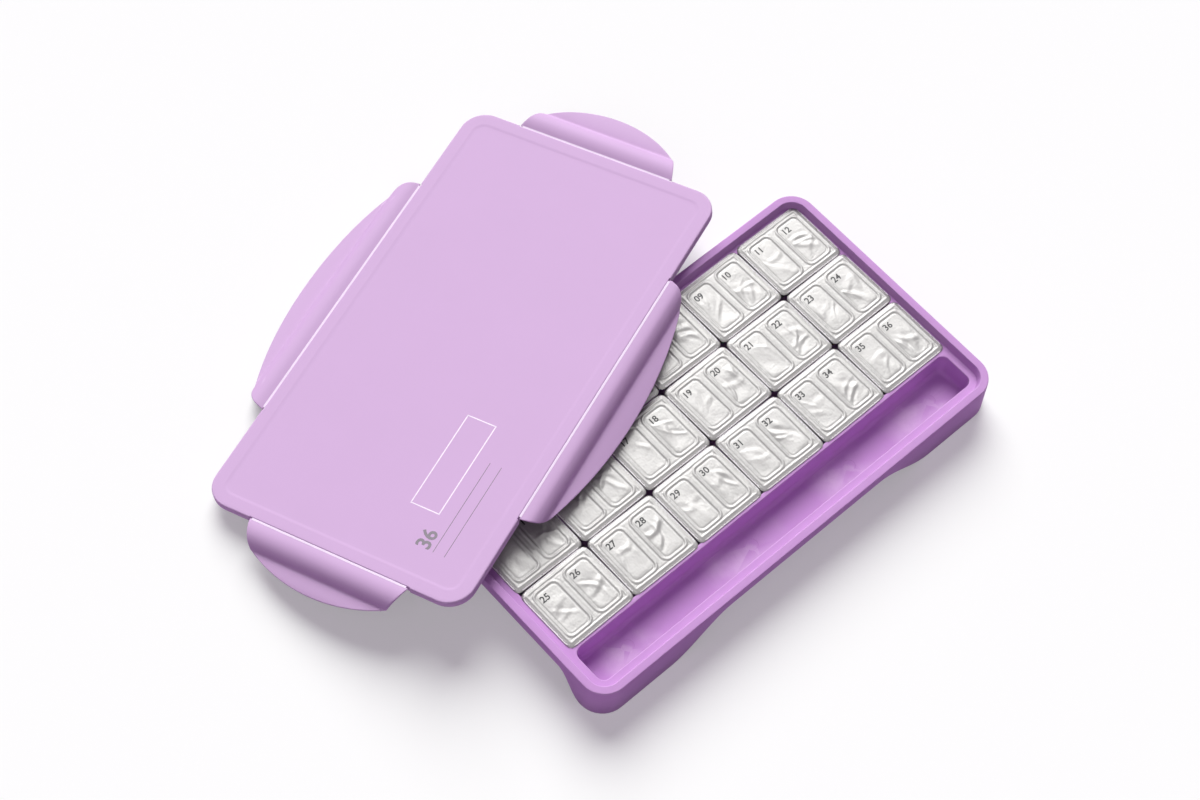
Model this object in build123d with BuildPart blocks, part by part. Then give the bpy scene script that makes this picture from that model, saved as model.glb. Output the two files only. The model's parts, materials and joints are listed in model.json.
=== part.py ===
from build123d import *
import os
from math import asin, atan2, cos, degrees, hypot, radians, sin, tan

os.makedirs("parts", exist_ok=True)

# Gouache paint set box: a moulded tray with eighteen foil-sealed twin paint packs and a
# brush channel, and its lid, taken off and leaning on the tray, with four hinged latch
# flaps. Millimetres. The origin is the centre of the tray's footprint on the table, X runs
# along the tray's long side, Y from the brush channel to the back, Z up.

# ---- tray ----
tray_length = 320.0
tray_width = 179.0
tray_height = 28.0
tray_corner = 16.0
tray_wall = 2.0
foot_flare = 0.5          # how far the skirt's foot stands out past the rim
rim_width = 5.0           # flat top of the rim
rim_round = 0.8
ledge_depth = 5.4         # rim top down to the ledge that the pack flanges sit over
ledge_setback = 1.6       # drafted inner wall, from rim edge to ledge
ledge_width = 4.4
ledge_thickness = 2.0
floor_depth = 22.0        # rim top down to the wells' floor
well_draft = 1.0          # degrees
well_corner = 5.0
channel_width = 24.9      # brush channel along the front
channel_fillet = 3.0
divider = 3.1             # wall between the brush channel and the pack well
foot_ring_inset = 6.0     # stacking ring under the floor
foot_ring_width = 2.4
skirt_height = 8.6        # skirt left above the finger arches
long_arch_half = 105.0    # half the arch's width at the table, and at its flat top
long_arch_flat = 60.0
short_arch_half = 72.0
short_arch_flat = 54.0

# ---- paint packs ----
columns = 6
rows = 3
pack_length = 49.6        # flange, along X
pack_width = 43.7
pack_corner = 5.5
pack_gap_x = 0.95
pack_gap_y = 0.85
pack_shift_x = 1.45       # the packs stand a little towards one end of the well
pack_front_lap = 0.6      # how far the front row stops short of the divider's front face
flange_thickness = 0.6
foil_thickness = 0.15
flange_clearance = 0.25   # flange over the ledge
cup_clearance = 0.15      # cup bottoms over the floor
cell_length = 17.0        # one paint cell at its mouth, along X
cell_width = 33.0
cell_gap = 6.0
cell_corner = 4.0
cell_draft = 3.0
cup_wall = 0.5
paint_space = 1.2         # air left between paint and foil
paint_clearance = 0.05

# ---- lid ----
lid_length = 317.0
lid_width = 177.0
lid_corner = 16.0
lid_thickness = 2.0
lid_depth = 5.0
lid_wall = 2.8
lid_edge_round = 1.0
field_inset = 8.0         # the sunk field that the border frames
field_depth = 0.25
seal_width = 2.2
seal_clearance = 0.1
seal_squeeze = 0.3        # how far the seal stands proud of the lid's edge
seal_rib = 1.2
seal_rib_depth = 2.4

# ---- latch flaps ----
bead_radius = 0.6         # rolled edge of the flap, on the hinge line
hinge_clearance = 0.35
hinge_relief = 1.5        # the lid's edge stands back behind each flap
relief_end_gap = 0.6
flap_thickness = 1.8
crown_out = 6.5           # crest that passes over the tray's rim
crown_height = 3.0
valley_out = 15.0         # valley whose back is the snap ridge under the skirt
valley_depth = 0.6
snap_ridge = 1.1          # radius of the ridge's bead
lip_height = 1.4
lip_thickness = 1.4
long_flap_half = 92.0
long_flap_reach = 29.5
short_flap_half = 54.0
short_flap_reach = 27.8
shoulder_out = 0.45       # shares of the flap's reach and half length that shape its lip
shoulder_along = 0.9
flank_out = 0.66
flank_along = 0.7

# ---- how the lid leans ----
lid_x = -66.6             # centre of the lid's top, in plan
lid_y = 135.3
lid_turn = 19.48          # degrees about Z
lid_tilt = 9.91           # degrees, back edge down
lean_gap = 0.35           # between the lid's underside and the tray's corner
table_gap = 0.3           # between the back flap's lip and the table
front_droop = 34.0        # how far each flap hangs below the lid's plane
left_droop = 18.0
right_droop = 3.0

# ---- heights ----
rim_top = tray_height
ledge_top = rim_top - ledge_depth
hollow_top = ledge_top - ledge_thickness
floor_top = rim_top - floor_depth
floor_under = floor_top - tray_wall
arch_top = rim_top - skirt_height
cup_bottom = floor_top + cup_clearance
flange_under = ledge_top + flange_clearance
flange_top = flange_under + flange_thickness

# ---- tray outlines, as insets from the rim's outline ----
ledge_inset = rim_width + ledge_setback
well_inset = ledge_inset + ledge_width
tub_inset = well_inset - tray_wall
ring_inset = tub_inset + foot_ring_inset
well_length = tray_length - 2 * well_inset
channel_front = well_inset - tray_width / 2
channel_back = channel_front + channel_width
well_front = channel_back + divider
well_back = tray_width / 2 - well_inset
well_span = well_back - well_front


def tray_outline(inset, mode=Mode.ADD):
    """The tray's rounded outline, drawn in by an inset."""
    radius = max(tray_corner - inset, well_corner)
    RectangleRounded(tray_length - 2 * inset, tray_width - 2 * inset, radius, mode=mode)


def arch_outline(half, flat):
    """A finger arch: flat along the top, with an S-curve down to the table at each end."""
    with BuildLine() as arch:
        Line((-flat, arch_top), (flat, arch_top))
        Spline((flat, arch_top), (half, 0), tangents=[(1, 0), (1, -0.4)])
        Spline((-flat, arch_top), (-half, 0), tangents=[(-1, 0), (-1, -0.4)])
        Line((-half, 0), (half, 0))
    make_face(arch.edges())


foot_draft = degrees(atan2(foot_flare, tray_height))
ledge_draft = degrees(atan2(ledge_setback, ledge_depth))
skirt_cut = tray_wall + foot_flare + 1.0

with BuildPart() as tray:
    with BuildSketch():
        tray_outline(-foot_flare)
    extrude(amount=tray_height, taper=foot_draft)
    # the hollow between skirt and tub, and the core under the rim
    with BuildSketch():
        tray_outline(tray_wall)
        tray_outline(tub_inset, mode=Mode.SUBTRACT)
    extrude(amount=hollow_top, mode=Mode.SUBTRACT)
    with BuildSketch(Plane.XY.offset(hollow_top)):
        tray_outline(tray_wall)
        tray_outline(rim_width - tray_wall + 0.2, mode=Mode.SUBTRACT)
    extrude(amount=rim_top - tray_wall - hollow_top, mode=Mode.SUBTRACT)
    # under the floor, leaving the stacking ring
    with BuildSketch():
        tray_outline(tub_inset)
        tray_outline(ring_inset, mode=Mode.SUBTRACT)
        tray_outline(ring_inset + foot_ring_width)
    extrude(amount=floor_under, mode=Mode.SUBTRACT)
    # the drafted recess down to the ledge
    with BuildSketch(Plane.XY.offset(ledge_top)):
        tray_outline(ledge_inset)
    extrude(amount=ledge_depth, taper=-ledge_draft, mode=Mode.SUBTRACT)
    # the pack well and the brush channel
    with BuildSketch(Plane.XY.offset(ledge_top)):
        with Locations((0, (well_front + well_back) / 2)):
            RectangleRounded(well_length, well_span, well_corner)
        with Locations((0, (channel_front + channel_back) / 2)):
            RectangleRounded(well_length, channel_width, well_corner)
    extrude(amount=floor_top - ledge_top, taper=well_draft, mode=Mode.SUBTRACT)
    floor_edges = tray.edges().filter_by_position(Axis.Z, floor_top - 0.01, floor_top + 0.01)
    fillet(floor_edges.filter_by(lambda e: e.center().Y < channel_back), channel_fillet)
    # finger arches through the skirt, on all four sides
    for side in (1, -1):
        skirt_y = side * (tray_width / 2 + foot_flare - skirt_cut)
        with BuildSketch(Plane.XZ.offset(skirt_y)):
            arch_outline(long_arch_half, long_arch_flat)
        extrude(amount=side * 2 * skirt_cut, mode=Mode.SUBTRACT)
        skirt_x = side * (tray_length / 2 + foot_flare - skirt_cut)
        with BuildSketch(Plane.YZ.offset(skirt_x)):
            arch_outline(short_arch_half, short_arch_flat)
        extrude(amount=side * 2 * skirt_cut, mode=Mode.SUBTRACT)
    fillet(tray.edges().group_by(Axis.Z)[-1], rim_round)
tray.part.label = "tray"
export_step(tray.part, "parts/tray.step")

# ---- paint packs ----
pitch_x = pack_length + pack_gap_x
pitch_y = pack_width + pack_gap_y
cell_offset = (cell_length + cell_gap) / 2
first_x = pack_shift_x - pitch_x * (columns - 1) / 2
first_y = channel_back + pack_front_lap + cell_gap / 4 + pack_width / 2
paint_top = flange_top - paint_space
# how each pack has settled, in degrees about Z, front row first
pack_turns = [
    [0.5, -0.4, 0.3, -0.6, 0.4, -0.3],
    [-0.5, 0.4, -0.3, 0.6, -0.2, 0.5],
    [0.3, -0.2, 0.4, -0.5, 0.6, -0.4],
]
# packs that the leaning lid and its front flap leave uncovered, as (row, column)
open_packs = [(1, column) for column in range(1, columns + 1)]
open_packs += [(2, 4), (2, 5), (2, 6), (3, 5), (3, 6)]


def pack_plane(row, column, height):
    """Where one pack stands, at a height above the table."""
    x = first_x + pitch_x * (column - 1)
    y = first_y + pitch_y * (row - 1)
    return Plane(Location((x, y, height), (0, 0, pack_turns[row - 1][column - 1])))


def cell_places():
    return [(-cell_offset, 0), (cell_offset, 0)]


def cell_facets(grow):
    """Both cells' mouths with cut corners, as a plain outline for the inside."""
    with Locations(*cell_places()):
        Rectangle(cell_length + 2 * grow, cell_width + 2 * grow)
    chamfer(vertices(), cell_corner / 2)


covered_paint = []
for row in range(1, rows + 1):
    for column in range(1, columns + 1):
        place = f"r{row}c{column}"
        rim_plane = pack_plane(row, column, flange_top)
        with BuildPart() as cup:
            with BuildSketch(rim_plane):
                RectangleRounded(pack_length, pack_width, pack_corner)
            extrude(amount=-flange_thickness)
            with BuildSketch(rim_plane):
                with Locations(*cell_places()):
                    RectangleRounded(cell_length + 2 * cup_wall, cell_width + 2 * cup_wall,
                                     cell_corner)
            extrude(amount=cup_bottom - flange_top, taper=cell_draft)
            with BuildSketch(rim_plane):
                cell_facets(0)
            extrude(amount=cup_bottom + cup_wall - flange_top, taper=cell_draft,
                    mode=Mode.SUBTRACT)
        cup.part.label = f"cup_{place}"
        export_step(cup.part, f"parts/cup_{place}.step")

        with BuildPart() as foil:
            with BuildSketch(rim_plane):
                RectangleRounded(pack_length, pack_width, pack_corner)
            extrude(amount=foil_thickness)
        foil.part.label = f"foil_{place}"
        export_step(foil.part, f"parts/foil_{place}.step")

        paint_inset = paint_clearance + paint_space * tan(radians(cell_draft))
        paint_bottom = cup_bottom + cup_wall + paint_clearance
        with BuildPart() as paint:
            with BuildSketch(pack_plane(row, column, paint_top)):
                cell_facets(-paint_inset)
            extrude(amount=paint_bottom - paint_top, taper=cell_draft)
        if (row, column) in open_packs:
            paint.part.label = f"gouache_{place}"
            export_step(paint.part, f"parts/gouache_{place}.step")
        else:
            covered_paint += paint.part.solids()

gouache_covered = Compound(label="gouache_covered", children=covered_paint)
export_step(gouache_covered, "parts/gouache_covered.step")

# ---- lid ----
# The lid leans on the tray's back left corner. Its height follows from the rim outline's
# furthest point towards the lid's lower edge.
lid_turned = Location((lid_x, lid_y, 0), (0, 0, lid_turn)) * Location((0, 0, 0), (-lid_tilt, 0, 0))
lid_normal = Plane(lid_turned).z_dir
corner_x = tray_corner - tray_length / 2 - lid_x
corner_y = tray_width / 2 - tray_corner - lid_y
corner_rise = lid_normal.X * corner_x + lid_normal.Y * corner_y
corner_rise += tray_corner * hypot(lid_normal.X, lid_normal.Y)
lid_z = rim_top + (lid_thickness + lean_gap + corner_rise) / lid_normal.Z
lid_plane = Plane(Location((0, 0, lid_z)) * lid_turned)

hinge_drop = bead_radius
groove_radius = bead_radius + hinge_clearance
# each flap: name, which side of the lid, half its length, reach, droop below the lid
back_hinge_z = lid_z - lid_width / 2 * sin(radians(lid_tilt)) - hinge_drop * cos(radians(lid_tilt))
lip_under = lip_height - lip_thickness
lip_middle = lip_height - lip_thickness / 2
lip_low = bead_radius + lip_under
lip_swing = hypot(long_flap_reach, lip_low)
back_slope = degrees(asin((back_hinge_z - table_gap) / lip_swing) + atan2(lip_low, long_flap_reach))
back_droop = back_slope - lid_tilt
flaps = [
    ("flap_front", -90, long_flap_half, long_flap_reach, front_droop),
    ("flap_back", 90, long_flap_half, long_flap_reach, back_droop),
    ("flap_left", 180, short_flap_half, short_flap_reach, left_droop),
    ("flap_right", 0, short_flap_half, short_flap_reach, right_droop),
]


def hinge_location(side):
    """The hinge line's middle on one side of the lid: X outwards, Z up from the lid."""
    edge = lid_length / 2 if side in (0, 180) else lid_width / 2
    out = (edge * cos(radians(side)), edge * sin(radians(side)), -hinge_drop)
    return lid_plane.location * Location(out, (0, 0, side))


def lid_outline(inset, mode=Mode.ADD):
    radius = max(lid_corner - inset, well_corner)
    RectangleRounded(lid_length - 2 * inset, lid_width - 2 * inset, radius, mode=mode)


with BuildPart() as lid_panel:
    with BuildSketch(lid_plane):
        lid_outline(0)
    extrude(amount=-lid_depth)
    top_edges = lid_panel.faces().sort_by_distance(lid_plane.origin)[0].edges()
    fillet(top_edges, lid_edge_round)
    with BuildSketch(lid_plane.offset(-lid_depth)):
        lid_outline(lid_wall)
    extrude(amount=lid_depth - lid_thickness, mode=Mode.SUBTRACT)
    with BuildSketch(lid_plane.offset(-lid_thickness)):
        lid_outline(lid_wall + seal_width + 2 * seal_clearance)
        lid_outline(lid_wall + seal_width + 2 * seal_clearance + seal_rib, mode=Mode.SUBTRACT)
    extrude(amount=-seal_rib_depth)
    with BuildSketch(lid_plane):
        lid_outline(field_inset)
    extrude(amount=-field_depth, mode=Mode.SUBTRACT)
    # each hinge: a round groove along the edge, and the wall set back under it
    for name, side, half, reach, droop in flaps:
        hinge = hinge_location(side)
        with BuildSketch(Plane(hinge).offset(-lid_depth)):
            with Locations((-hinge_relief / 2, 0)):
                Rectangle(hinge_relief, 2 * (half + relief_end_gap))
        extrude(amount=lid_depth, mode=Mode.SUBTRACT)
        hinge_end = Plane(origin=(hinge * Location((0, -half - relief_end_gap, 0))).position,
                          x_dir=Plane(hinge).x_dir, z_dir=Plane(hinge).y_dir)
        with BuildSketch(hinge_end):
            Circle(groove_radius)
        extrude(amount=2 * (half + relief_end_gap), mode=Mode.SUBTRACT)
lid_panel.part.label = "lid_panel"
export_step(lid_panel.part, "parts/lid_panel.step")

with BuildPart() as lid_seal:
    with BuildSketch(lid_plane.offset(-lid_thickness)):
        lid_outline(lid_wall + seal_clearance)
        lid_outline(lid_wall + seal_clearance + seal_width, mode=Mode.SUBTRACT)
    extrude(amount=lid_thickness - lid_depth - seal_squeeze)
lid_seal.part.label = "lid_seal"
export_step(lid_seal.part, "parts/lid_seal.step")

# ---- latch flaps ----


def flap_section(reach):
    """The S-shaped section: a rolled bead, a crown, a valley with a snap ridge, and the lip."""
    outer = [(0, bead_radius), (crown_out, bead_radius + crown_height),
             (valley_out, bead_radius - valley_depth), (reach, bead_radius + lip_height)]
    inner = [(0, -bead_radius)]
    inner += [(out, height - flap_thickness) for out, height in outer[1:3]]
    inner.append((reach, bead_radius + lip_under))
    lean = [(1, 0.6), (1, 0), (1, 0), (1, 0.15)]
    with BuildLine() as section:
        Spline(*outer, tangents=lean)
        Spline(*inner, tangents=lean)
        ThreePointArc(outer[0], (-bead_radius, 0), inner[0])
        ThreePointArc(outer[-1], (reach + lip_thickness / 2, bead_radius + lip_middle), inner[-1])
    make_face(section.edges())
    with Locations((valley_out, inner[2][1])):
        Circle(snap_ridge)


def flap_outline(half, reach):
    """The flap in plan: straight on the hinge, round shoulders, and a crescent lip."""
    nose = reach + lip_thickness / 2
    shoulder = (nose * shoulder_out, half * shoulder_along)
    flank = (nose * flank_out, half * flank_along)
    slopes = [(1, 0), (0.5, -1), (0.35, -1), (0, -1)]
    with BuildLine() as plan:
        Line((0, -half), (-bead_radius, -half))
        Line((-bead_radius, -half), (-bead_radius, half))
        Line((-bead_radius, half), (0, half))
        Spline((0, half), shoulder, flank, (nose, 0), tangents=slopes)
        mirror(plan.edges()[-1:], about=Plane.XZ)
    make_face(plan.edges())


for name, side, half, reach, droop in flaps:
    flap_location = hinge_location(side) * Location((0, 0, 0), (0, droop, 0))
    flap_plane = Plane(flap_location)
    section_plane = Plane(origin=flap_location.position, x_dir=flap_plane.x_dir,
                          z_dir=-flap_plane.y_dir)
    with BuildPart() as flap:
        with BuildSketch(section_plane):
            flap_section(reach)
        extrude(amount=half, both=True)
        with BuildSketch(flap_plane.offset(-lid_depth)):
            flap_outline(half, reach)
        extrude(amount=2 * lid_depth, mode=Mode.INTERSECT)
    flap.part.label = name
    export_step(flap.part, f"parts/{name}.step")
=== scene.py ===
import json
import math
import random

import bmesh
import bpy
from mathutils import Matrix, Vector, noise

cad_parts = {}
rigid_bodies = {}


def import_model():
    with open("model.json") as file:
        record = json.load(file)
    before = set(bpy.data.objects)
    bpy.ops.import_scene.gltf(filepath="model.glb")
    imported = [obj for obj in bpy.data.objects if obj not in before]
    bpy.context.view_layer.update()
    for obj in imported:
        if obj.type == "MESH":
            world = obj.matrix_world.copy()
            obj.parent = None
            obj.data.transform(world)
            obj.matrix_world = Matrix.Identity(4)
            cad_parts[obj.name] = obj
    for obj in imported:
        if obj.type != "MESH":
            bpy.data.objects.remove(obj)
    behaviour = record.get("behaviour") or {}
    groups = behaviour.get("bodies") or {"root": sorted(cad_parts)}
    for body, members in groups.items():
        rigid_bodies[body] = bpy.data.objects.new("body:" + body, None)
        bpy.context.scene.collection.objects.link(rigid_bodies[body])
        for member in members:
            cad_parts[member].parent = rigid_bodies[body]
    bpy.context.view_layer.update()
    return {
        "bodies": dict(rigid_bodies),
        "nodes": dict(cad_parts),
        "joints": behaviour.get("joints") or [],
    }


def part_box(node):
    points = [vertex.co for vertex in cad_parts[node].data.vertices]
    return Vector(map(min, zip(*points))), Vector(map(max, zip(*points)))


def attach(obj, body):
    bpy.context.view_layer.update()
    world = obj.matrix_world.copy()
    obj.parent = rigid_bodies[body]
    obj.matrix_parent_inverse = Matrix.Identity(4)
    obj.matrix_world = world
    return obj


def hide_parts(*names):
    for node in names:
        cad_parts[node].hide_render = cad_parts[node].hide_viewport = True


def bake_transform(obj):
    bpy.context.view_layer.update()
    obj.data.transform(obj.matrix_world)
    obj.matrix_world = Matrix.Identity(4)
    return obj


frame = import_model()

MM = 0.001
scene = bpy.context.scene

# ---- Sizes, in millimetres, worked out from the frame where it gives them ----
tray_low, tray_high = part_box("tray")
foot_flare = 0.5          # how far the skirt's foot stands out past the rim
tray_long = (tray_high.x - tray_low.x) / MM - 2 * foot_flare
tray_wide = (tray_high.y - tray_low.y) / MM - 2 * foot_flare
rim_z = tray_high.z / MM
tray_corner = 16.0
rim_width = 5.0
rim_round = 0.7           # outer and inner rounding of the rim
rim_inner_round = 0.6
ledge_z = rim_z - 5.4     # the ledge that the pack flanges sit over
floor_z = rim_z - 22.0
tray_wall = 2.0
well_inset = 11.0         # from the rim's edge to the wells
tub_inset = well_inset - tray_wall
channel_width = 24.9
divider = 3.1
channel_front = well_inset - tray_wide / 2
channel_back = channel_front + channel_width
well_half = tray_long / 2 - well_inset
well_corner = 5.0
well_draft = math.tan(math.radians(1.0))
arch_top = rim_z - 8.6
# each finger arch: half its width at its flat top, and at the table
long_arch = (60.0, 105.0)
short_arch = (54.0, 72.0)
# the mould's ejector pins, along the channel's floor
pin_places = (-118.0, -20.0, 60.0, 128.0)
pin_radius = 4.0
pin_depth = 0.12
foot_ring_inset = 6.0

joints = {joint["name"]: joint for joint in frame["joints"]}


def hinge(side):
    """A flap's hinge line: a point on it, and its direction, in millimetres."""
    joint = joints[f"flap_{side}_hinge"]
    return Vector(joint["pos_m"]) / MM, Vector(joint["axis"]).normalized()


hinge_drop = 0.6          # the hinge lines run this far below the lid's top
front_at, back_at, left_at, right_at = (hinge(s)[0] for s in ("front", "back", "left", "right"))
lid_x = (right_at - left_at).normalized()
lid_y = (back_at - front_at).normalized()
lid_z = lid_x.cross(lid_y)
lid_long = (right_at - left_at).length
lid_wide = (back_at - front_at).length
lid_middle = (front_at + back_at) / 2 + lid_z * hinge_drop
lid_corner = 16.0
# each latch flap: half its length, its tip's reach, how far its section is moved out from
# the hinge line, and how many degrees it hangs below the lid
flap_forms = {
    "front": (92.0, 27.4, -0.8, 40.9),
    "back": (92.0, 28.85, 0.75, 16.6),
    "left": (54.0, 27.4, 0.9, 27.0),
    "right": (54.0, 30.6, 1.3, 9.5),
}


def placed(origin, x_axis, z_axis):
    """The matrix, in metres, that puts a piece made in millimetres about the origin in place."""
    y_axis = z_axis.cross(x_axis)
    turn = Matrix((x_axis, y_axis, z_axis)).transposed().to_4x4()
    return Matrix.Translation(origin * MM) @ turn @ Matrix.Scale(MM, 4)


on_lid = placed(lid_middle, lid_x, lid_z)
in_row = Matrix.Scale(MM, 4)        # a piece made in the frame's own millimetres

# ---- Camera ----
camera_data = bpy.data.cameras.new("camera")
camera_data.sensor_width = 36.0
camera_data.lens = 77.65
camera = bpy.data.objects.new("camera", camera_data)
scene.collection.objects.link(camera)
camera_at = Vector((-563.2, -448.5, 1371.7)) * MM
view_right = Vector((0.74467, -0.66593, 0.04474))
view_up = Vector((0.57007, 0.66947, 0.47627))
view_back = view_right.cross(view_up)
camera.matrix_world = Matrix.Translation(camera_at) @ Matrix(
    (view_right, view_up, view_back)).transposed().to_4x4()
scene.camera = camera

# ---- Shader groups ----


def new_group(name, inputs, outputs):
    """A node group with named sockets. Each is (name, kind, default)."""
    group = bpy.data.node_groups.new(name, "ShaderNodeTree")
    for title, kind, default in inputs:
        socket = group.interface.new_socket(title, in_out="INPUT", socket_type=kind)
        socket.default_value = default
    for title, kind in outputs:
        group.interface.new_socket(title, in_out="OUTPUT", socket_type=kind)
    start = group.nodes.new("NodeGroupInput")
    end = group.nodes.new("NodeGroupOutput")
    return group, start, end


def add(tree, kind, **settings):
    """A node with its settings and unlinked socket values."""
    node = tree.nodes.new(kind)
    for key, value in settings.items():
        if key == "values":
            for socket, number in value.items():
                node.inputs[socket].default_value = number
        else:
            setattr(node, key, value)
    return node


def noise_at(tree, scale, detail=3.0, roughness=0.5):
    """Noise over the object's own coordinates; scale is a number or an output socket."""
    where = add(tree, "ShaderNodeTexCoord")
    texture = add(tree, "ShaderNodeTexNoise", values={"Detail": detail, "Roughness": roughness})
    tree.links.new(where.outputs["Object"], texture.inputs["Vector"])
    if isinstance(scale, float):
        texture.inputs["Scale"].default_value = scale
    else:
        tree.links.new(scale, texture.inputs["Scale"])
    return texture.outputs["Fac"]


def maths(tree, operation, first, second=0.0, third=0.0):
    """A sum on numbers or output sockets."""
    node = add(tree, "ShaderNodeMath", operation=operation)
    for index, value in enumerate((first, second, third)):
        if isinstance(value, (int, float)):
            node.inputs[index].default_value = value
        else:
            tree.links.new(value, node.inputs[index])
    return node.outputs[0]


def mix_colour(tree, factor, first, second, blend="MIX"):
    """The first colour turned into the second by a factor; each may be a socket."""
    node = add(tree, "ShaderNodeMix", data_type="RGBA", blend_type=blend)
    for socket, value in ((node.inputs[0], factor), (node.inputs[6], first),
                          (node.inputs[7], second)):
        if isinstance(value, (int, float, tuple)):
            socket.default_value = value
        else:
            tree.links.new(value, socket)
    return node.outputs[2]


def ramp(tree, value, low, high):
    """Value stretched so that low becomes 0 and high becomes 1, clamped."""
    node = add(tree, "ShaderNodeMapRange", clamp=True)
    tree.links.new(value, node.inputs["Value"])
    node.inputs["From Min"].default_value = low
    node.inputs["From Max"].default_value = high
    return node.outputs["Result"]


def moulded_skin_group():
    """The fine grain of a moulded surface, its uneven tone, and its uneven gloss."""
    group, start, end = new_group(
        "Moulded skin",
        [("Colour", "NodeSocketColor", (0.7, 0.5, 0.75, 1)),
         ("Tone shift", "NodeSocketFloat", 0.04), ("Grain scale", "NodeSocketFloat", 2500.0),
         ("Flow scale", "NodeSocketFloat", 22.0), ("Roughness", "NodeSocketFloat", 0.45),
         ("Gloss shift", "NodeSocketFloat", 0.08)],
        [("Colour", "NodeSocketColor"), ("Roughness", "NodeSocketFloat"),
         ("Height", "NodeSocketFloat")])
    grain = noise_at(group, start.outputs["Grain scale"], 2.0, 0.6)
    flow = noise_at(group, start.outputs["Flow scale"], 4.0, 0.55)
    shade = maths(group, "MULTIPLY_ADD", maths(group, "SUBTRACT", flow, 0.5),
                  start.outputs["Tone shift"], 1.0)
    tint = add(group, "ShaderNodeCombineColor")
    for channel in range(3):
        group.links.new(shade, tint.inputs[channel])
    colour = mix_colour(group, 1.0, start.outputs["Colour"], tint.outputs[0], "MULTIPLY")
    group.links.new(colour, end.inputs["Colour"])
    gloss = maths(group, "MULTIPLY_ADD", maths(group, "SUBTRACT", flow, 0.5),
                  start.outputs["Gloss shift"], start.outputs["Roughness"])
    group.links.new(gloss, end.inputs["Roughness"])
    group.links.new(grain, end.inputs["Height"])
    return group


def edge_wear_and_highlight_group():
    """Paler plastic along the convex edges: partly rubbed wear, partly a painted highlight."""
    group, start, end = new_group(
        "Edge wear and highlight",
        [("Colour", "NodeSocketColor", (0.7, 0.5, 0.75, 1)),
         ("Worn colour", "NodeSocketColor", (0.85, 0.75, 0.9, 1)),
         ("Amount", "NodeSocketFloat", 0.5), ("Patch scale", "NodeSocketFloat", 60.0)],
        [("Colour", "NodeSocketColor"), ("Mask", "NodeSocketFloat")])
    shape = add(group, "ShaderNodeNewGeometry")
    convex = ramp(group, shape.outputs["Pointiness"], 0.515, 0.56)
    patch = ramp(group, noise_at(group, start.outputs["Patch scale"], 5.0, 0.6), 0.25, 0.6)
    mask = maths(group, "MULTIPLY", maths(group, "MULTIPLY", convex, patch),
                 start.outputs["Amount"])
    colour = mix_colour(group, mask, start.outputs["Colour"], start.outputs["Worn colour"])
    group.links.new(colour, end.inputs["Colour"])
    group.links.new(mask, end.inputs["Mask"])
    return group


def handling_group():
    """Faint dust specks, as a mask."""
    group, start, end = new_group(
        "Handling marks",
        [("Speck scale", "NodeSocketFloat", 900.0), ("Amount", "NodeSocketFloat", 0.3)],
        [("Mask", "NodeSocketFloat")])
    where = add(group, "ShaderNodeTexCoord")
    specks = add(group, "ShaderNodeTexVoronoi", feature="F1")
    group.links.new(where.outputs["Object"], specks.inputs["Vector"])
    group.links.new(start.outputs["Speck scale"], specks.inputs["Scale"])
    dots = maths(group, "LESS_THAN", specks.outputs["Distance"], 0.05)
    clear = ramp(group, noise_at(group, 35.0, 3.0), 0.55, 0.7)
    group.links.new(maths(group, "MULTIPLY", maths(group, "MULTIPLY", dots, clear),
                          start.outputs["Amount"]), end.inputs["Mask"])
    return group


def crinkle_group():
    """Fine crinkles pressed into thin foil or film, as a height and a gloss shift."""
    group, start, end = new_group(
        "Crinkle",
        [("Scale", "NodeSocketFloat", 260.0), ("Fine scale", "NodeSocketFloat", 1200.0),
         ("Roughness", "NodeSocketFloat", 0.3)],
        [("Height", "NodeSocketFloat"), ("Roughness", "NodeSocketFloat")])
    where = add(group, "ShaderNodeTexCoord")
    cells = add(group, "ShaderNodeTexVoronoi", feature="DISTANCE_TO_EDGE")
    group.links.new(where.outputs["Object"], cells.inputs["Vector"])
    group.links.new(start.outputs["Scale"], cells.inputs["Scale"])
    folds = ramp(group, cells.outputs["Distance"], 0.0, 0.3)
    fine = noise_at(group, start.outputs["Fine scale"], 3.0, 0.6)
    group.links.new(maths(group, "MULTIPLY_ADD", fine, 0.35, folds), end.inputs["Height"])
    broad = noise_at(group, 140.0, 2.0)
    group.links.new(maths(group, "MULTIPLY_ADD", maths(group, "SUBTRACT", broad, 0.5), 0.16,
                          start.outputs["Roughness"]), end.inputs["Roughness"])
    return group


moulded_skin = moulded_skin_group()
edge_wear_and_highlight = edge_wear_and_highlight_group()
handling = handling_group()
crinkle = crinkle_group()

# ---- Materials ----


def srgb(red, green, blue):
    """A colour given as 0 to 255 on screen, as the linear values that nodes take."""
    def linear(value):
        value /= 255
        return value / 12.92 if value <= 0.04045 else ((value + 0.055) / 1.055) ** 2.4
    return (linear(red), linear(green), linear(blue), 1.0)


def new_material(name):
    """A node material, its tree and its Principled shader."""
    material = bpy.data.materials.new(name)
    material.use_nodes = True
    tree = material.node_tree
    return material, tree, tree.nodes["Principled BSDF"]


def use_group(tree, group, **values):
    """A shader group placed in a material with its own values."""
    node = add(tree, "ShaderNodeGroup", node_tree=group)
    for title, value in values.items():
        node.inputs[title.replace("_", " ")].default_value = value
    return node


def bump_from(tree, shader, height, strength, distance):
    """Fine relief from a height, of a distance in metres."""
    bump = add(tree, "ShaderNodeBump", values={"Strength": strength, "Distance": distance})
    tree.links.new(height, bump.inputs["Height"])
    tree.links.new(bump.outputs["Normal"], shader.inputs["Normal"])


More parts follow.
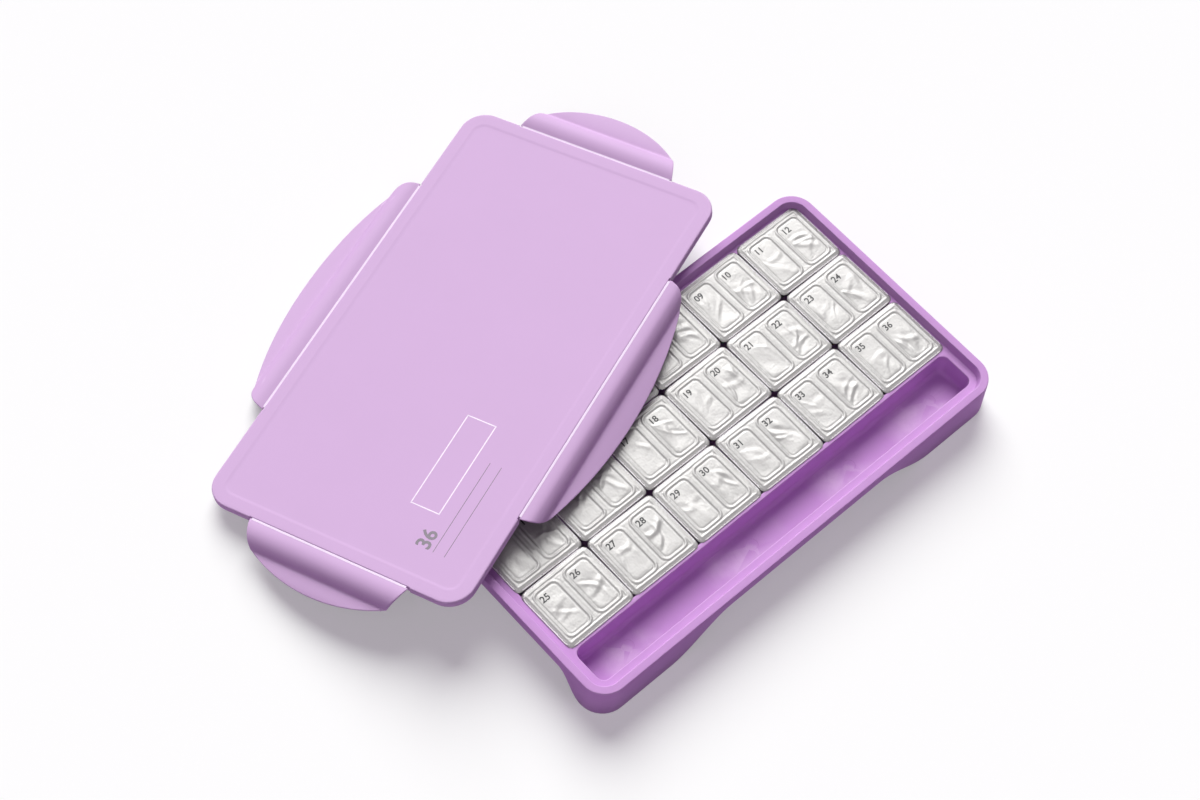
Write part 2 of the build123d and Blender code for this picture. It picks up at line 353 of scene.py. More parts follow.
def moulded_plastic(name, colour, worn_highlight_and_dust, roughness, grain=2500.0, tone=0.05, wear_and_highlight=0.4):
    """Satin polypropylene: grain, uneven tone, paler convex edges that are partly rubbed wear
    and partly a painted highlight, and a few specks.
    """
    material, tree, shader = new_material(name)
    skin = use_group(tree, moulded_skin, Colour=colour, Tone_shift=tone, Grain_scale=grain,
                     Roughness=roughness)
    # The pale convex edges are partly rubbed wear and partly a painted highlight; the same pale
    # colour also tints the dust specks.
    wear_and_highlight_node = use_group(tree, edge_wear_and_highlight, Worn_colour=worn_highlight_and_dust, Amount=wear_and_highlight)
    specks = use_group(tree, handling, Amount=0.25)
    tree.links.new(skin.outputs["Colour"], wear_and_highlight_node.inputs["Colour"])
    dusted = mix_colour(tree, specks.outputs["Mask"], wear_and_highlight_node.outputs["Colour"], worn_highlight_and_dust)
    tree.links.new(dusted, shader.inputs["Base Color"])
    tree.links.new(skin.outputs["Roughness"], shader.inputs["Roughness"])
    bump_from(tree, shader, skin.outputs["Height"], 0.25, 0.00003)
    shader.inputs["Specular IOR Level"].default_value = 0.12
    return material


# The tray's base lilac is darker and more saturated than the lid's, though it is the same
# plastic: painted shade for its shaded channel and hollows. Its paler edge colour and higher
# edge amount are partly rubbed wear and partly a painted highlight along the rim's edges.
lilac_tray_with_painted_shade = moulded_plastic("lilac tray plastic with painted shade", srgb(199, 152, 209), srgb(232, 208, 235),
                             0.42, wear_and_highlight=0.6)
lilac_lid = moulded_plastic("lilac lid plastic", srgb(205, 174, 211), srgb(226, 202, 230),
                            0.52, grain=1900.0)
stressed = moulded_plastic("stress-whitened hinge", srgb(240, 226, 244), srgb(250, 244, 252),
                           0.5, tone=0.1, wear_and_highlight=0.2)
silicone = moulded_plastic("milky silicone", srgb(228, 222, 230), srgb(238, 234, 240), 0.5,
                           tone=0.03, wear_and_highlight=0.1)
cup_white = moulded_plastic("white cup plastic", srgb(226, 226, 224), srgb(240, 240, 238),
                            0.28, grain=900.0, tone=0.04, wear_and_highlight=0.2)


def foil_material():
    """Dull, crinkled aluminium foil over plastic."""
    material, tree, shader = new_material("sealing foil")
    folds = use_group(tree, crinkle, Scale=230.0, Roughness=0.46)
    skin = use_group(tree, moulded_skin, Colour=srgb(157, 156, 154), Tone_shift=0.12,
                     Grain_scale=3200.0, Flow_scale=90.0)
    tree.links.new(skin.outputs["Colour"], shader.inputs["Base Color"])
    tree.links.new(folds.outputs["Roughness"], shader.inputs["Roughness"])
    shader.inputs["Metallic"].default_value = 0.55
    bump_from(tree, shader, folds.outputs["Height"], 0.22, 0.00010)
    return material


def ink_material(name, colour, roughness=0.5):
    """Printing ink with a slightly broken tone."""
    material, tree, shader = new_material(name)
    skin = use_group(tree, moulded_skin, Colour=colour, Tone_shift=0.25, Grain_scale=4000.0,
                     Flow_scale=500.0, Roughness=roughness)
    tree.links.new(skin.outputs["Colour"], shader.inputs["Base Color"])
    tree.links.new(skin.outputs["Roughness"], shader.inputs["Roughness"])
    bump_from(tree, shader, skin.outputs["Height"], 0.1, 0.00002)
    return material


def paint_material():
    """Gouache: every cell its own colour, by where it stands."""
    material, tree, shader = new_material("wet gouache")
    where = add(tree, "ShaderNodeTexCoord")
    snap = add(tree, "ShaderNodeVectorMath", operation="SNAP")
    cell_step = (0.02527, 0.04455, 10.0)
    snap.inputs[1].default_value = cell_step
    tree.links.new(where.outputs["Object"], snap.inputs[0])
    pick = add(tree, "ShaderNodeTexWhiteNoise", noise_dimensions="3D")
    tree.links.new(snap.outputs[0], pick.inputs["Vector"])
    hue = add(tree, "ShaderNodeCombineColor", mode="HSV")
    tree.links.new(pick.outputs["Value"], hue.inputs[0])
    hue.inputs[1].default_value = 0.75
    hue.inputs[2].default_value = 0.7
    skin = use_group(tree, moulded_skin, Tone_shift=0.15, Grain_scale=1200.0,
                     Flow_scale=160.0, Roughness=0.35)
    tree.links.new(hue.outputs[0], skin.inputs["Colour"])
    tree.links.new(skin.outputs["Colour"], shader.inputs["Base Color"])
    tree.links.new(skin.outputs["Roughness"], shader.inputs["Roughness"])
    bump_from(tree, shader, skin.outputs["Height"], 0.4, 0.0002)
    return material


foil_silver = foil_material()
foil_ink = ink_material("dark foil print", srgb(34, 34, 36))
grey_ink = ink_material("grey lid print", srgb(112, 104, 114))
white_ink = ink_material("white lid print", srgb(241, 231, 244))
gouache = paint_material()

# ---- Mesh tools ----


def finish_piece(name, bm, material, body, place=in_row, sharp=40.0):
    """Put a form made in millimetres in place, shade it and let it ride on its body."""
    mesh = to_mesh(bm, name)
    mesh.transform(place)
    mesh.polygons.foreach_set("use_smooth", [True] * len(mesh.polygons))
    mesh.set_sharp_from_angle(angle=math.radians(sharp))
    mesh.materials.append(material)
    piece = bpy.data.objects.new(name, mesh)
    scene.collection.objects.link(piece)
    weighted = piece.modifiers.new("even shading", "WEIGHTED_NORMAL")
    weighted.keep_sharp = True
    if body:
        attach(piece, body)
    return piece


def skin_loops(bm, loops, closed=True):
    """Quads between neighbouring loops of points. Returns the vertices loop by loop."""
    rings = [[bm.verts.new(point) for point in loop] for loop in loops]
    for ring, following in zip(rings, rings[1:]):
        count = len(ring)
        for index in range(count if closed else count - 1):
            after = (index + 1) % count
            bm.faces.new((ring[index], ring[after], following[after], following[index]))
    return rings


def edges_of(bm, ring):
    """The edges round a ring of vertices, made where there is none yet."""
    found = []
    for first, second in zip(ring, ring[1:] + ring[:1]):
        edge = bm.edges.get((first, second)) or bm.edges.new((first, second))
        found.append(edge)
    return found


def to_mesh(bm, name):
    """The finished mesh, its faces turned outwards."""
    bmesh.ops.recalc_face_normals(bm, faces=bm.faces)
    mesh = bpy.data.meshes.new(name)
    bm.to_mesh(mesh)
    bm.free()
    return mesh


def smooth_step(value):
    """An even rise from 0 to 1."""
    value = min(max(value, 0.0), 1.0)
    return value * value * (3 - 2 * value)


def rounded_loop(half_x, half_y, radius, corner_steps=9, stations_x=(), stations_y=(),
                 middle=(0.0, 0.0)):
    """A rounded rectangle, anticlockwise from the front edge: points as (x, y, side, along).

    side is 0 front, 1 right, 2 back, 3 left, or None on a corner; along is the signed place
    on that side. Stations are shares of the straight stretch, from -1 to 1."""
    flat_x, flat_y = half_x - radius, half_y - radius
    points = []

    def corner(centre_x, centre_y, start):
        for step in range(corner_steps + 1):
            angle = start + math.pi / 2 * step / corner_steps
            points.append((centre_x + radius * math.cos(angle),
                           centre_y + radius * math.sin(angle), None, 0.0))

    for share in stations_x:
        points.append((share * flat_x, -half_y, 0, share * flat_x))
    corner(flat_x, -flat_y, -math.pi / 2)
    for share in stations_y:
        points.append((half_x, share * flat_y, 1, share * flat_y))
    corner(flat_x, flat_y, 0)
    for share in reversed(stations_x):
        points.append((share * flat_x, half_y, 2, share * flat_x))
    corner(-flat_x, flat_y, math.pi / 2)
    for share in reversed(stations_y):
        points.append((-half_x, share * flat_y, 3, share * flat_y))
    corner(-flat_x, -flat_y, math.pi)
    return [(x + middle[0], y + middle[1], side, along) for x, y, side, along in points]


def even_stations(half, positions):
    """Places along a straight stretch, as shares of its half length."""
    return [place / half for place in positions if abs(place) < half - 0.2]


def lettering(text, size):
    """Plain figures as a flat mesh, split finely enough to lie on a curved skin."""
    curve = bpy.data.curves.new("figures", "FONT")
    curve.body = text
    curve.size = size
    curve.offset = 0.022 * size
    curve.resolution_u = 3
    holder = bpy.data.objects.new("figures", curve)
    scene.collection.objects.link(holder)
    bpy.context.view_layer.update()
    mesh = bpy.data.meshes.new_from_object(
        holder.evaluated_get(bpy.context.evaluated_depsgraph_get()))
    bpy.data.objects.remove(holder)
    bpy.data.curves.remove(curve)
    bm = bmesh.new()
    bm.from_mesh(mesh)
    bmesh.ops.triangulate(bm, faces=bm.faces)
    for _ in range(2):
        long_edges = [edge for edge in bm.edges if edge.calc_length() > 0.7]
        bmesh.ops.subdivide_edges(bm, edges=long_edges, cuts=1)
        bmesh.ops.triangulate(bm, faces=bm.faces)
    bm.to_mesh(mesh)
    bm.free()
    return mesh


# ---- Tray ----
tray_stations_x = even_stations(tray_long / 2 - tray_corner, range(-140, 141, 4))
tray_stations_y = even_stations(tray_wide / 2 - tray_corner, range(-72, 73, 3))


def tray_loop(inset, height):
    """One loop round the tray. height is a number, or a function of side and place."""
    radius = max(tray_corner - inset, well_corner)
    loop = rounded_loop(tray_long / 2 - inset, tray_wide / 2 - inset, radius, 10,
                        tray_stations_x, tray_stations_y)
    return [(x, y, height(side, along) if callable(height) else height)
            for x, y, side, along in loop]


def skirt_bottom(side, along):
    """The skirt's lower edge: on the table at the corners, arched between them."""
    if side is None:
        return 0.0
    flat, foot = long_arch if side in (0, 2) else short_arch
    share = (abs(along) - flat) / (foot - flat)
    return arch_top * (1 - smooth_step(share))


def above_skirt(extra):
    """A height a little above the skirt's lower edge, for tray_loop."""
    return lambda side, along: skirt_bottom(side, along) + extra


def flare(height):
    """How far the drafted skirt stands out at a height."""
    return -foot_flare * (1 - height / rim_z)


def skirt_ring(extra, inset):
    """A loop near the skirt's lower edge, on its drafted outer face drawn in by an inset."""
    flat_loop = tray_loop(0, skirt_bottom)
    loop = []
    for (x, y, z), (outer_x, outer_y, _) in zip(flat_loop, tray_loop(1.0, 0.0)):
        out = Vector((x - outer_x, y - outer_y)) * (-(flare(z + extra)) - inset)
        loop.append((x + out.x, y + out.y, z + extra))
    return loop


def well_loops(middle_y, half_y, fillet, mouth=0.7, steps=4):
    """Loops from a well's mouth, rounded over, down its drafted wall to the floor's edge."""
    depth = ledge_z - floor_z
    places = []
    for step in range(steps + 1):
        angle = math.pi / 2 * step / steps
        places.append((mouth * (1 - math.sin(angle)), -mouth * (1 - math.cos(angle))))
    places.append((-well_draft * depth * 0.5, -depth * 0.5))
    for step in range(steps + 2):
        angle = math.pi / 2 * step / (steps + 1)
        places.append((-well_draft * (depth - fillet) - fillet * (1 - math.cos(angle)),
                       -depth + fillet * (1 - math.sin(angle))))
    loops = []
    for grow, drop in places:
        radius = max(well_corner + grow, 0.6)
        loop = rounded_loop(well_half + grow, half_y + grow, radius, 8,
                            even_stations(100, range(-90, 91, 15)),
                            even_stations(100, range(-75, 76, 25)), (0.0, middle_y))
        loops.append([(x, y, ledge_z + drop) for x, y, _, _ in loop])
    return loops


def make_tray():
    """The tray in one skin: tub, arched skirt, rim, ledge, both wells and the stacking ring."""
    bm = bmesh.new()
    outside = [tray_loop(tub_inset, floor_z - tray_wall), tray_loop(tub_inset, ledge_z - 2.0),
               tray_loop(tray_wall, ledge_z - 2.0), tray_loop(tray_wall, above_skirt(0.0)),
               skirt_ring(0.0, 0.5), skirt_ring(0.12, 0.12), skirt_ring(0.5, 0.0)]
    outside.append(tray_loop(flare(rim_z - 4), rim_z - 4.0))
    for step in range(5):
        angle = math.pi / 2 * step / 4
        outside.append(tray_loop(rim_round * (1 - math.cos(angle)),
                                 rim_z - rim_round * (1 - math.sin(angle))))
    for step in range(5):
        angle = math.pi / 2 * step / 4
        outside.append(tray_loop(rim_width + rim_inner_round * (math.sin(angle) - 1),
                                 rim_z - rim_inner_round * (1 - math.cos(angle))))
    outside.append(tray_loop(rim_width + 1.15, ledge_z + 1.3))
    outside.append(tray_loop(rim_width + 1.35, ledge_z + 0.5))
    outside.append(tray_loop(rim_width + 1.6, ledge_z + 0.12))
    outside.append(tray_loop(rim_width + 2.1, ledge_z))
    rings = skin_loops(bm, outside)
    # the deck between the rim's foot and the two wells
    channel_middle = (channel_front + channel_back) / 2
    pack_front = channel_back + divider
    pack_back = tray_wide / 2 - well_inset
    channel = skin_loops(bm, well_loops(channel_middle, channel_width / 2, 3.0))
    well = skin_loops(bm, well_loops((pack_front + pack_back) / 2,
                                     (pack_back - pack_front) / 2, 1.5))
    deck = edges_of(bm, rings[-1]) + edges_of(bm, channel[0]) + edges_of(bm, well[0])
    bmesh.ops.triangle_fill(bm, use_beauty=True, use_dissolve=False, edges=deck)
    bm.faces.new(well[-1])
    # the channel's floor, with the round witness marks of the mould's ejector pins
    pins = []
    for pin_x in pin_places:
        turns = [2 * math.pi * k / 32 for k in range(32)]
        circles = [[(pin_x + radius * math.cos(turn), channel_middle + radius * math.sin(turn),
                     height) for turn in turns]
                   for radius, height in ((pin_radius, floor_z),
                                          (pin_radius * 0.97, floor_z - pin_depth))]
        pins.append(skin_loops(bm, circles))
    floor = edges_of(bm, channel[-1])
    for pin in pins:
        floor += edges_of(bm, pin[0])
        bm.faces.new(pin[-1])
    bmesh.ops.triangle_fill(bm, use_beauty=True, use_dissolve=False, edges=floor)
    # underneath: the floor and its stacking ring
    under = floor_z - tray_wall
    ring_out = tub_inset + foot_ring_inset
    foot = [(ring_out, under), (ring_out, 0.3), (ring_out + 0.3, 0.0), (ring_out + 2.1, 0.0),
            (ring_out + 2.4, 0.3), (ring_out + 2.4, under)]
    foot_rings = skin_loops(bm, [tray_loop(inset, height) for inset, height in foot])
    tub, foot_edge = rings[0], foot_rings[0]
    for index in range(len(tub)):
        after = (index + 1) % len(tub)
        bm.faces.new((foot_edge[index], foot_edge[after], tub[after], tub[index]))
    bm.faces.new(foot_rings[-1])
    piece = finish_piece("tray_moulding", bm, lilac_tray_with_painted_shade, "tray")
    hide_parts("tray")


# ---- Lid ----
# The lid's edge, from the sunk field out over the edge and in underneath, as inset and
# height: first where the edge is whole, then where a flap's hinge draws it back. The relief
# for the hinge runs a little past each end of the flap.
relief_gap = 0.65
lid_edge = [
    ((1.0, 0.0), (1.35, 0.0)), ((0.62, -0.08), (1.1, -0.05)), ((0.29, -0.29), (0.87, -0.18)),
    ((0.08, -0.62), (0.74, -0.37)), ((0.0, -1.0), (0.7, -0.6)), ((0.0, -1.7), (0.7, -1.4)),
    ((0.0, -4.6), (0.7, -4.6)), ((0.1, -4.88), (0.8, -4.88)), ((0.4, -5.0), (1.1, -5.0)),
]
sunk_field = [(11.6, -0.25), (10.2, -0.25), (9.6, -0.22), (8.9, -0.125), (8.2, -0.03),
              (7.6, 0.0), (2.5, 0.0)]
seal_channel = [(2.5, -5.0), (2.75, -4.9), (2.8, -4.7), (2.8, -2.0), (5.2, -2.0), (5.2, -4.2),
                (5.35, -4.4), (6.25, -4.4), (6.4, -4.2), (6.4, -2.0)]
lid_profile = ([(point, point) for point in sunk_field] + lid_edge
               + [(point, point) for point in seal_channel])


def lid_stations(flat, half):
    """Stations along one side, doubled at the ends of the hinge's relief."""
    ends = [half + relief_gap + 0.1, half + relief_gap - 0.05]
    places = list(range(-int(flat) + 4, int(flat) - 3, 6))
    places = [place for place in places if min(abs(abs(place) - end) for end in ends) > 1.5]
    places += ends + [-end for end in ends]
    return even_stations(flat, sorted(places))


def make_lid():
    """The lid's panel, swept from its profile and closed over the top and underneath."""
    bm = bmesh.new()
    long_half, short_half = flap_forms["front"][0], flap_forms["left"][0]
    stations_x = lid_stations(lid_long / 2 - lid_corner, long_half)
    stations_y = lid_stations(lid_wide / 2 - lid_corner, short_half)
    loops = []
    for whole, hinged in lid_profile:
        loops_at = []
        for inset, height in (whole, hinged):
            radius = max(lid_corner - inset, well_corner)
            loops_at.append([(x, y, height, side, along) for x, y, side, along in rounded_loop(
                lid_long / 2 - inset, lid_wide / 2 - inset, radius, 10, stations_x,
                stations_y)])
        loop = []
        for plain, cut in zip(*loops_at):
            side, along = plain[3], plain[4]
            half = long_half if side in (0, 2) else short_half
            chosen = cut if side is not None and abs(along) < half + relief_gap else plain
            loop.append(chosen[:3])
        loops.append(loop)
    rings = skin_loops(bm, loops)
    bm.faces.new(rings[0])
    bm.faces.new(rings[-1])
    piece = finish_piece("lid_moulding", bm, lilac_lid, "lid", on_lid,
                         sharp=50.0)
    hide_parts("lid_panel")


def strip(bm, first, last, width, height):
    """A thin printed line between two points."""
    first, last = Vector(first), Vector(last)
    run = (last - first).normalized()
    aside = Vector((-run.y, run.x)) * width / 2
    corners = [first - aside, last - aside, last + aside, first + aside]
    bm.faces.new([bm.verts.new((p.x, p.y, height)) for p in corners])


def make_print():
    """The print in the lid's front corner: a white frame, grey rules and the cell count."""
    white_z, grey_z = -0.22, -0.21      # just proud of the sunk field
    frame_line, rule_line = 0.7, 0.35
    bm = bmesh.new()
    frame_corners = [(-109.2, -45.2), (-43.8, -45.2), (-43.8, -26.2), (-109.2, -26.2)]
    for first, last in zip(frame_corners, frame_corners[1:] + frame_corners[:1]):
        run = (Vector(last) - Vector(first)).normalized() * 0.45
        strip(bm, Vector(first) - run, Vector(last) + run, frame_line, white_z)
    finish_piece("lid_print_frame", bm, white_ink, "lid", on_lid)
    bm = bmesh.new()
    for rule_y in (-54.8, -62.4):
        strip(bm, (-132.4, rule_y), (-66.8, rule_y), rule_line, grey_z)
    figures = lettering("36", 13.0)
    figures.transform(Matrix.Translation((-132.8, -51.6, grey_z)))
    bm.from_mesh(figures)
    finish_piece("lid_print_figures", bm, grey_ink, "lid", on_lid)


def make_seal():
    """The silicone ring in its channel, with a rounded pressing face."""
    section = [(2.9, -2.0), (2.9, -4.6), (3.1, -5.05), (3.6, -5.28), (4.4, -5.28),
               (4.9, -5.05), (5.1, -4.6), (5.1, -2.0)]
    bm = bmesh.new()
    stations = even_stations(100, range(-95, 96, 10))
    loops = [[(x, y, height) for x, y, _, _ in rounded_loop(
        lid_long / 2 - inset, lid_wide / 2 - inset, lid_corner - inset, 10, stations,
        stations)] for inset, height in section]
    skin_loops(bm, loops + loops[:1])
    bmesh.ops.remove_doubles(bm, verts=bm.verts, dist=0.001)
    piece = finish_piece("seal_ring", bm, silicone, "lid", on_lid)
    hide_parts("lid_seal")


# ---- Latch flaps ----
root = 0.3                # half the thickness of the flap where it joins the hinge
shoulder_out = 16.5       # the outline's shoulder, where the corner's arc meets the lip's
shoulder_share = 0.857    # of the flap's half length
valley_out = 16.2
ridge_share = 0.8         # of the flap's half length
ridge_radius = 1.1
lip_round = 0.6


def hermite(knots, value):
    """A smooth curve through knots of (place, height, slope)."""
    for (x0, y0, m0), (x1, y1, m1) in zip(knots, knots[1:]):
        if value <= x1 or (x1, y1, m1) == knots[-1]:
            span = x1 - x0
            t = (value - x0) / span
            return ((2 * t**3 - 3 * t**2 + 1) * y0 + (t**3 - 2 * t**2 + t) * span * m0
                    + (3 * t**2 - 2 * t**3) * y1 + (t**3 - t**2) * span * m1)


def flap_faces(tip, shift):
    """Knots of the outer and inner face: crown, steep fall, valley, then the upturned lip."""
    crown, valley = 7.9 + shift, valley_out + shift
    outer = [(0.15, 0.15, 0.72), (crown, 3.5, 0), (15.0 + shift, 0.55, -0.95),
             (valley, 0.0, 0), (17.4 + shift, 0.4, 0.35), (tip - 0.7, 2.7, 0.12)]
    inner = [(0.45, -0.4, 0.7), (crown, 1.9, 0), (13.9 + shift, -0.55, -0.95),
             (valley, -1.6, 0), (17.9 + shift, -1.1, 0.35), (tip - 0.7, 1.3, 0.12)]
    return outer, inner


def arc_through(first, middle, last, steps):
    """Points along the circle through three points, the last one left out."""
    (ax, ay), (bx, by), (cx, cy) = first, middle, last
    twice = 2 * (ax * (by - cy) + bx * (cy - ay) + cx * (ay - by))
    a2, b2, c2 = ax * ax + ay * ay, bx * bx + by * by, cx * cx + cy * cy
    centre = Vector(((a2 * (by - cy) + b2 * (cy - ay) + c2 * (ay - by)) / twice,
                     (a2 * (cx - bx) + b2 * (ax - cx) + c2 * (bx - ax)) / twice))
    start = Vector(first) - centre
    sweep = start.angle_signed(Vector(last) - centre)
    return [centre + Matrix.Rotation(-sweep * step / steps, 2) @ start for step in range(steps)]


def flap_plan(half, tip):
    """The flap's outline from one end of the hinge round the lip to the other."""
    shoulder = (shoulder_out, half * shoulder_share)
    corner = arc_through((0.0, half), (9.0, half - 3.5), shoulder, 16)
    lip = arc_through(shoulder, (tip, 0.0), (shoulder[0], -shoulder[1]), 84)
    other = [Vector((p.x, -p.y)) for p in reversed(corner)]
    return corner + lip + [Vector((shoulder[0], -shoulder[1]))] + other


def flap_columns(outline, tip, shift):
    """Each column runs from the lip's edge in to the root, over the top and back underneath."""
    insets = [0.0, 0.05, 0.15, 0.32, 0.55, 0.9]
    inner_rows = 52
    outer, inner = flap_faces(tip, shift)
    columns = []
    for index, point in enumerate(outline):
        before = outline[max(index - 1, 0)]
        after = outline[min(index + 1, len(outline) - 1)]
        run = (after - before).normalized()
        outward = Vector((-run.y, run.x))
        top, under = [], []
        for inset in insets:
            spot = point - outward * inset
            fall = lip_round - math.sqrt(lip_round**2 - max(lip_round - inset, 0)**2)
            over, below = max(spot.x, outer[0][0]), max(spot.x, inner[0][0])
            top.append((over, spot.y, hermite(outer, over) - fall))
            under.append((below, spot.y, hermite(inner, below) + fall))
        last = spot
        for row in range(1, inner_rows + 1):
            share = row / inner_rows
            over = max(last.x, outer[0][0]) * (1 - share) + outer[0][0] * share
            below = max(last.x, inner[0][0]) * (1 - share) + inner[0][0] * share
            top.append((over, last.y, hermite(outer, over)))
            under.append((below, last.y, hermite(inner, below)))
        bend = [(0.3 - root * math.sin(angle), last.y, -0.125 + root * math.cos(angle))
                for angle in (math.pi * 0.3, math.pi * 0.5, math.pi * 0.7, math.pi * 0.9)]
        columns.append(top + bend + list(reversed(under)))
    return columns


def snap_ridge(bm, half_length, out, height):
    """The half-round ridge under the valley that snaps below the tray's skirt."""
    arc = [(out - ridge_radius * math.cos(math.pi * step / 8),
            height - ridge_radius * math.sin(math.pi * step / 8)) for step in range(9)]
    rings = skin_loops(bm, [[(x, along, z) for x, z in arc]
                            for along in (-half_length, half_length)])
    for ring in rings:
        bm.faces.new(ring)


def make_flap(side):
    """One latch flap, hanging from the lid's edge, with its ridge and its hinge's web."""
    half, tip, shift, hang = flap_forms[side]
    at, axis = hinge(side)
    name = f"flap_{side}"
    flat_out = (-axis).cross(lid_z).normalized()
    slope = Matrix.Rotation(-math.radians(hang), 3, axis)
    out_axis, up_axis = slope @ flat_out, slope @ lid_z
    place = placed(at, out_axis, up_axis)
    bm = bmesh.new()
    rings = skin_loops(bm, flap_columns(flap_plan(half, tip), tip, shift))
    bmesh.ops.remove_doubles(bm, verts=bm.verts, dist=0.004)
    boundary = [edge for edge in bm.edges if edge.is_boundary]
    bmesh.ops.holes_fill(bm, edges=boundary, sides=0)
    snap_ridge(bm, half * ridge_share, valley_out + shift, -1.55)
    piece = finish_piece(f"latch_{side}", bm, lilac_lid, name,
                         place, sharp=60.0)
    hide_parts(name)
    make_web(side, half, at, axis, flat_out, out_axis, up_axis)


def make_web(side, half, at, axis, flat_out, out_axis, up_axis):
    """The thin skin of the living hinge, whitened where it bends."""
    length = half - 1.4
    thickness = 0.22
    on_lid_side, on_flap_side = 0.85, 0.45
    bm = bmesh.new()
    middle_up = (lid_z + up_axis).normalized()
    path = [at - flat_out * on_lid_side + lid_z * 0.10, at - flat_out * 0.55 + lid_z * 0.22,
            at - flat_out * 0.15 + middle_up * 0.26, at + out_axis * 0.10 + up_axis * 0.24,
            at + out_axis * on_flap_side + up_axis * 0.50]
    under = [point - middle_up * thickness for point in reversed(path)]
    loops = []
    for share in range(41):
        where = axis * length * (share / 20 - 1)
        loops.append([point + where for point in path + under])
    rings = skin_loops(bm, loops)
    bm.faces.new(rings[0])
    bm.faces.new(rings[-1])
    piece = finish_piece(f"hinge_web_{side}", bm, stressed,
                         None, in_row, sharp=60.0)
    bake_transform(piece)


# ---- Paint packs ----
pack_long, pack_wide, pack_round = 49.6, 43.7, 5.5
foil_lap = 0.18           # how far the foil, wrapped over the flange, stands out past it
foil_corner = pack_round - 1.9
pitch_x, pitch_y = 50.55, 44.55
first_x = 1.45 - pitch_x * 2.5
cell_half_x, cell_half_y, cell_round = 8.5, 16.5, 4.0
cell_shift = 11.5
turned_edge = 1.5         # how much of the foil's edge is turned down round the flange
# pressed ribs and grooves as height, place and half width: in from the foil's edge, and out
# from each cell's mouth
flange_ribs = [(0.14, 3.0, 0.8), (-0.16, 4.2, 0.8)]
mouth_ribs = [(0.34, 0.5, 1.1), (-0.20, -0.9, 0.9), (-0.10, 1.9, 0.6)]
foil_low, foil_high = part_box("foil_r1c1")
foil_z = foil_high.z / MM
first_y = (foil_low.y + foil_high.y) / 2 / MM
# how many degrees each pack lies askew, row by row from the channel
pack_turns = [
    [0.5, -0.4, 0.3, -0.6, 0.4, -0.3],
    [-0.5, 0.4, -0.3, 0.6, -0.2, 0.5],
    [0.3, -0.2, 0.4, -0.5, 0.6, -0.4],
]


def outside_box(x, y, half_x, half_y, radius):
    """Distance outside a rounded rectangle; negative inside."""
    dx, dy = abs(x) - half_x + radius, abs(y) - half_y + radius
    return math.hypot(max(dx, 0), max(dy, 0)) + min(max(dx, dy), 0) - radius


def bump_at(value, centre, width):
    """A rounded hump of height 1 about a centre."""
    share = abs(value - centre) / width
    return (1 - share * share) ** 2 if share < 1 else 0.0


def cell_folds(seed, index):
    """The few soft swoops in one cell's foil: where, which way, how bent, how high and wide."""
    pick = random.Random(100 * seed + index)
    folds = []
    for _ in range(3 if index == 0 else 4):
        folds.append((math.radians(pick.uniform(-80, 80)), pick.uniform(-6, 6),
                      pick.uniform(-0.05, 0.05), pick.uniform(0.16, 0.36) * (0.6 + 0.5 * index),
                      pick.uniform(0.9, 2.4), pick.uniform(-9, 9)))
    return folds


def swoop(x, y, folds):
    """Height of one cell's folds: each a ridge with a softer trough beside it."""
    height = 0.0
    for angle, offset, bend, rise, width, centre in folds:
        along = y * math.cos(angle) - x * math.sin(angle) - centre
        across = x * math.cos(angle) + y * math.sin(angle) - offset - bend * along * along
        fade = math.exp(-(along / 9.0) ** 2)
        height += rise * fade * (math.exp(-(across / width) ** 2)
                                 - 0.6 * math.exp(-((across - 1.7 * width) / width) ** 2))
    return height


def foil_height(x, y, seed, folds):
    """Height of the sealed foil over the flange, in pack coordinates."""
    edge = -outside_box(x, y, pack_long / 2 + foil_lap, pack_wide / 2 + foil_lap, foil_corner)
    height = 0.0
    crimp = noise.noise(Vector((x * 0.9 + seed * 5.0, y * 0.9, 2.0)))
    fine = noise.noise(Vector((x * 1.7, y * 1.7 + seed * 3.0, 9.0)))
    if edge < turned_edge:
        turned = 1 - max(edge, 0) / turned_edge
        height -= 0.85 * turned ** 2.2
        height += (0.26 * crimp + 0.16 * fine) * (1 - abs(2 * turned - 1.1))
    height += 0.34 * smooth_step((edge - 1.7) / 0.9)
    height += sum(rise * bump_at(edge, place, width) for rise, place, width in flange_ribs)
    for index, shift in enumerate((-cell_shift, cell_shift)):
        out = outside_box(x - shift, y, cell_half_x, cell_half_y, cell_round)
        height += sum(rise * bump_at(out, place, width) for rise, place, width in mouth_ribs)
        if out < -0.6:
            depth = smooth_step((-0.6 - out) / 3.0)
            printed = 1 - 0.8 * bump_at(y, 11.6, 6.0)
            spot = Vector((x * 0.10 + seed * 7.3, y * 0.08 + index * 5.1, seed * 1.7))
            height += depth * printed * (0.30 * noise.noise(spot)
                                         + swoop(x - shift, y, folds[index]))
    return height + 0.06 * crimp + 0.035 * fine


def pack_place(row, column):
    """Where a pack lies, from its own millimetres to the frame's metres."""
    x = first_x + pitch_x * (column - 1)
    y = first_y + pitch_y * (row - 1)
    turn = Matrix.Rotation(math.radians(pack_turns[row - 1][column - 1]), 4, "Z")
    return in_row @ Matrix.Translation((x, y, foil_z)) @ turn


